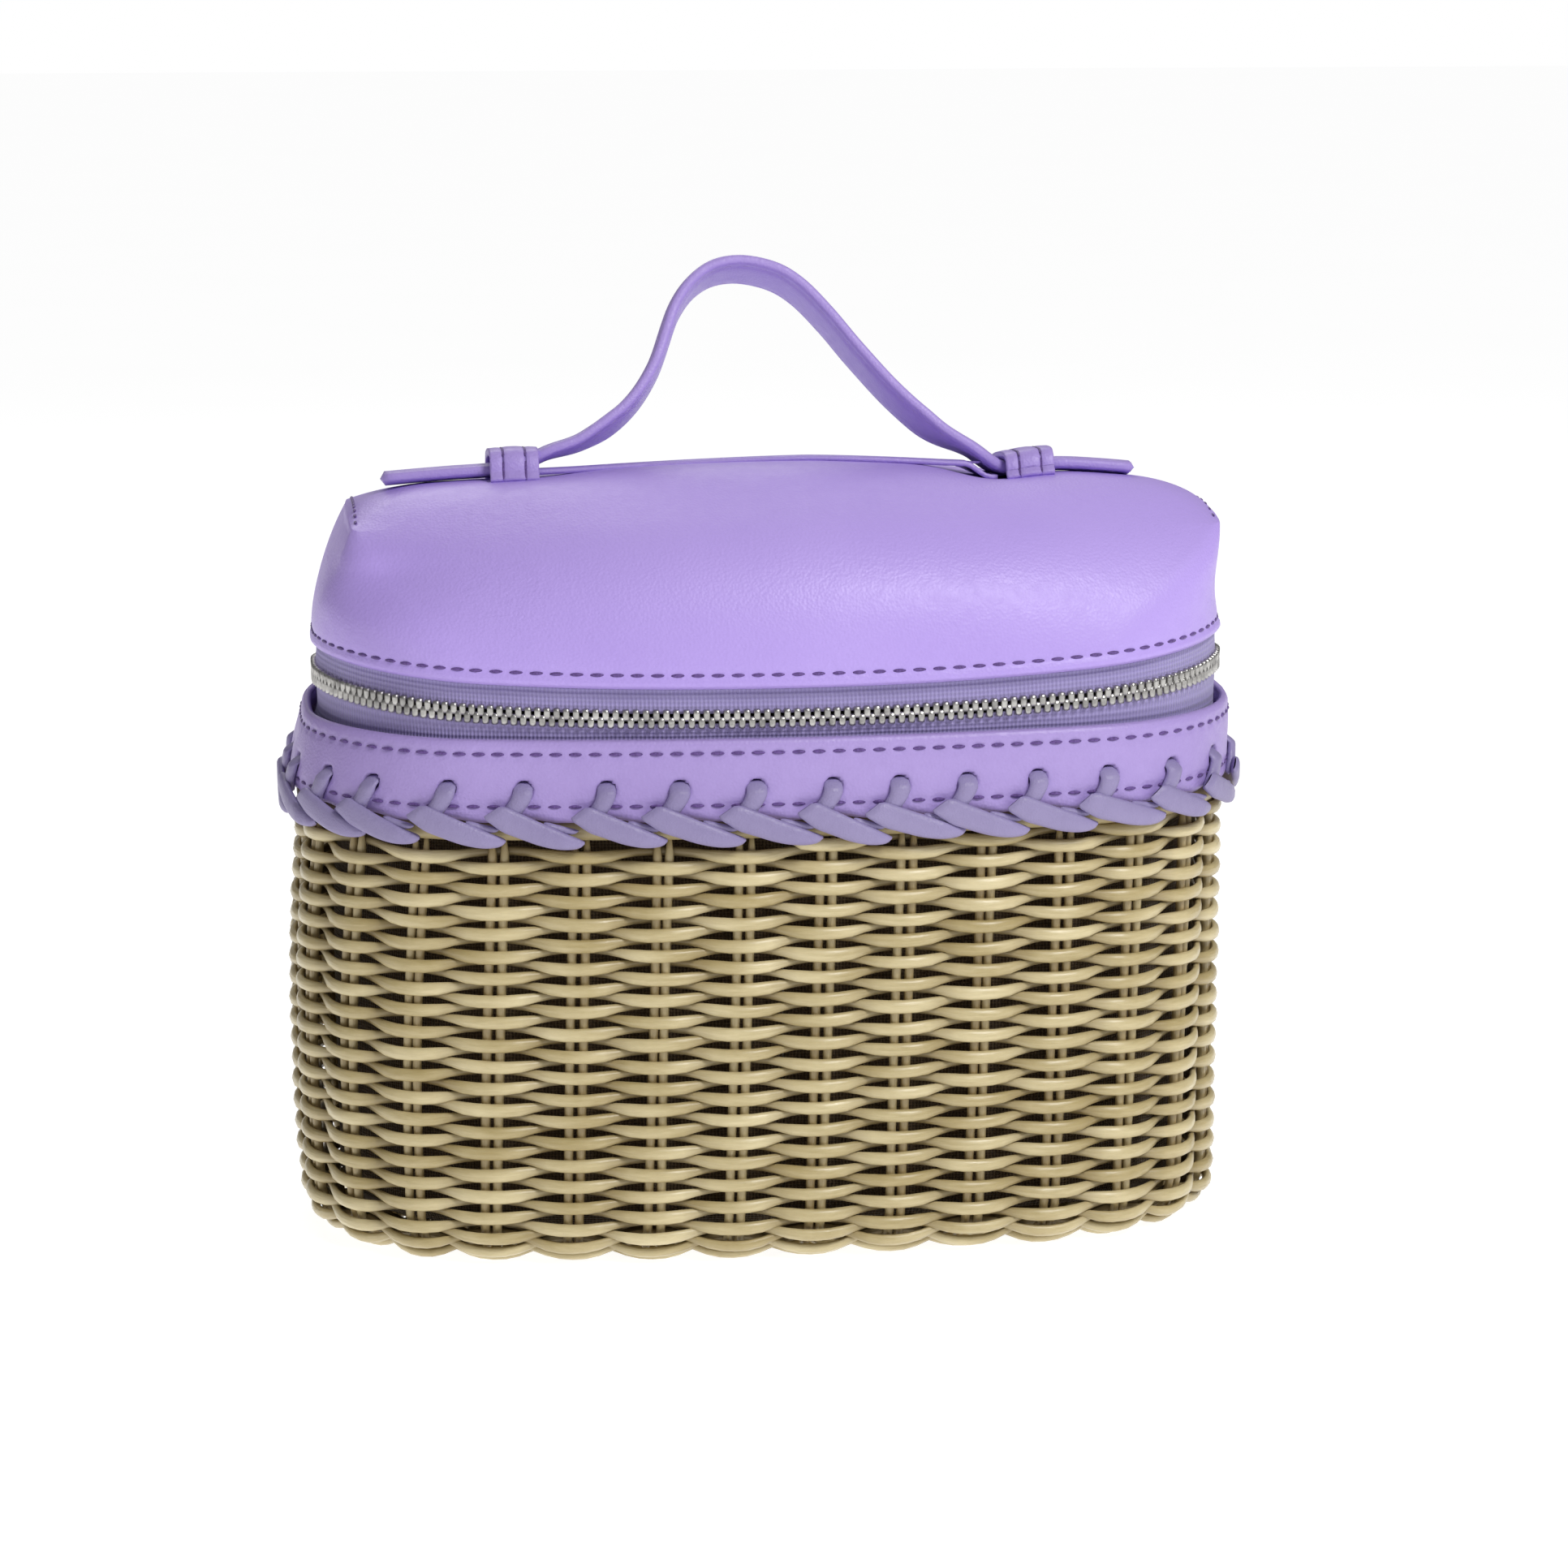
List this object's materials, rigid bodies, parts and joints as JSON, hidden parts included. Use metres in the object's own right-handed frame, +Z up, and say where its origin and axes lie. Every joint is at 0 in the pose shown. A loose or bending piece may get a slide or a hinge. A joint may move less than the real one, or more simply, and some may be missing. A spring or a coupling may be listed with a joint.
{
  "type": "basket box bag",
  "caption": "Small woven wicker box bag with a laced leather collar, a zip round the front and sides, a soft leather lid and a leather strap handle.",
  "frame": {"origin": "middle of the bag's footprint, on the surface it stands on", "axes": "+X to the bag's right, +Y to its back where the lid hinges, +Z up"},
  "size_m": [0.211, 0.1178, 0.2122],
  "materials": {
    "wicker": "varnished straw-coloured cane",
    "leather": "soft lilac leather with a slight sheen",
    "lacing_leather": "pale lilac leather thong",
    "zip_tape": "woven lilac tape",
    "zip_metal": "bright nickel",
    "lining": "plain brown cotton"
  },
  "bodies": {
    "body": {"basket": "wicker", "basket_rim_hoop": "wicker", "basket_lining": "lining", "collar": "leather", "lacing": "lacing_leather", "zip_tape_lower": "zip_tape", "zip_teeth_lower": "zip_metal", "hinge_strip": "leather"},
    "lid": {"lid_cover": "leather", "lid_lining": "lining", "zip_tape_upper": "zip_tape", "zip_teeth_upper": "zip_metal", "handle_base_strip": "leather", "keeper_left": "leather", "keeper_right": "leather", "handle_strap_ends": "leather"},
    "handle": {"handle_strap": "leather"},
    "slider": {"zip_slider": "zip_metal"},
    "pull": {"zip_pull": "zip_metal"}
  },
  "joints": [
    {"name": "lid_hinge", "type": "hinge", "parent": "body", "child": "lid", "pos_m": [0, 0.0576, 0.119], "axis": [-1, 0, 0], "range_deg": [0, 105]},
    {"name": "handle_tilt", "type": "hinge", "parent": "lid", "child": "handle", "pos_m": [0, 0, 0.168], "axis": [-1, 0, 0], "range_deg": [-80, 20]},
    {"name": "slider_run", "type": "hinge", "parent": "body", "child": "slider", "pos_m": [0.05839, 0.00745, 0.119], "axis": [0, 0, -1], "range_deg": [0, 45]},
    {"name": "pull_swing", "type": "hinge", "parent": "slider", "child": "pull", "pos_m": [0.08352, 0.04442, 0.119], "axis": [0, 0, 1], "range_deg": [0, 160]}
  ]
}
